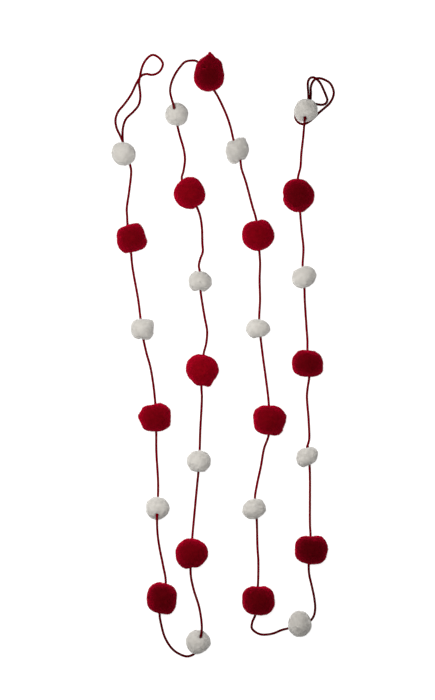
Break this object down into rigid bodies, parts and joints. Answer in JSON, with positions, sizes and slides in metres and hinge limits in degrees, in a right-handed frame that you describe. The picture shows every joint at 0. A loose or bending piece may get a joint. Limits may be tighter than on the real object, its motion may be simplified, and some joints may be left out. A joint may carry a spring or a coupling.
{
  "type": "pom-pom garland",
  "caption": "Long thin cord threaded through small white and larger red yarn pompoms in turn, with a hanging loop at each end, laid out flat in four runs.",
  "frame": {"origin": "on the surface that the garland lies on, under the middle of the pompoms' bounding box", "axes": "+Z up, away from the surface; +Y along the runs, towards the two hanging loops; +X to the right as seen from above with +Y up"},
  "size_m": [0.2573, 0.6956, 0.0365],
  "materials": {
    "red_yarn": "dense velvety deep red yarn pile",
    "white_yarn": "dense soft warm white yarn pile",
    "cord": "smooth dark red twisted cord"
  },
  "bodies": {
    "root": {"cord": "cord", "red_pompom_01": "red_yarn", "red_pompom_02": "red_yarn", "red_pompom_03": "red_yarn", "red_pompom_04": "red_yarn", "red_pompom_05": "red_yarn", "red_pompom_06": "red_yarn", "red_pompom_07": "red_yarn", "red_pompom_08": "red_yarn", "red_pompom_09": "red_yarn", "red_pompom_10": "red_yarn", "red_pompom_11": "red_yarn", "red_pompom_12": "red_yarn", "red_pompom_13": "red_yarn", "white_pompom_01": "white_yarn", "white_pompom_02": "white_yarn", "white_pompom_03": "white_yarn", "white_pompom_04": "white_yarn", "white_pompom_05": "white_yarn", "white_pompom_06": "white_yarn", "white_pompom_07": "white_yarn", "white_pompom_08": "white_yarn", "white_pompom_09": "white_yarn", "white_pompom_10": "white_yarn", "white_pompom_11": "white_yarn", "white_pompom_12": "white_yarn", "white_pompom_13": "white_yarn", "white_pompom_14": "white_yarn"}
  },
  "joints": []
}
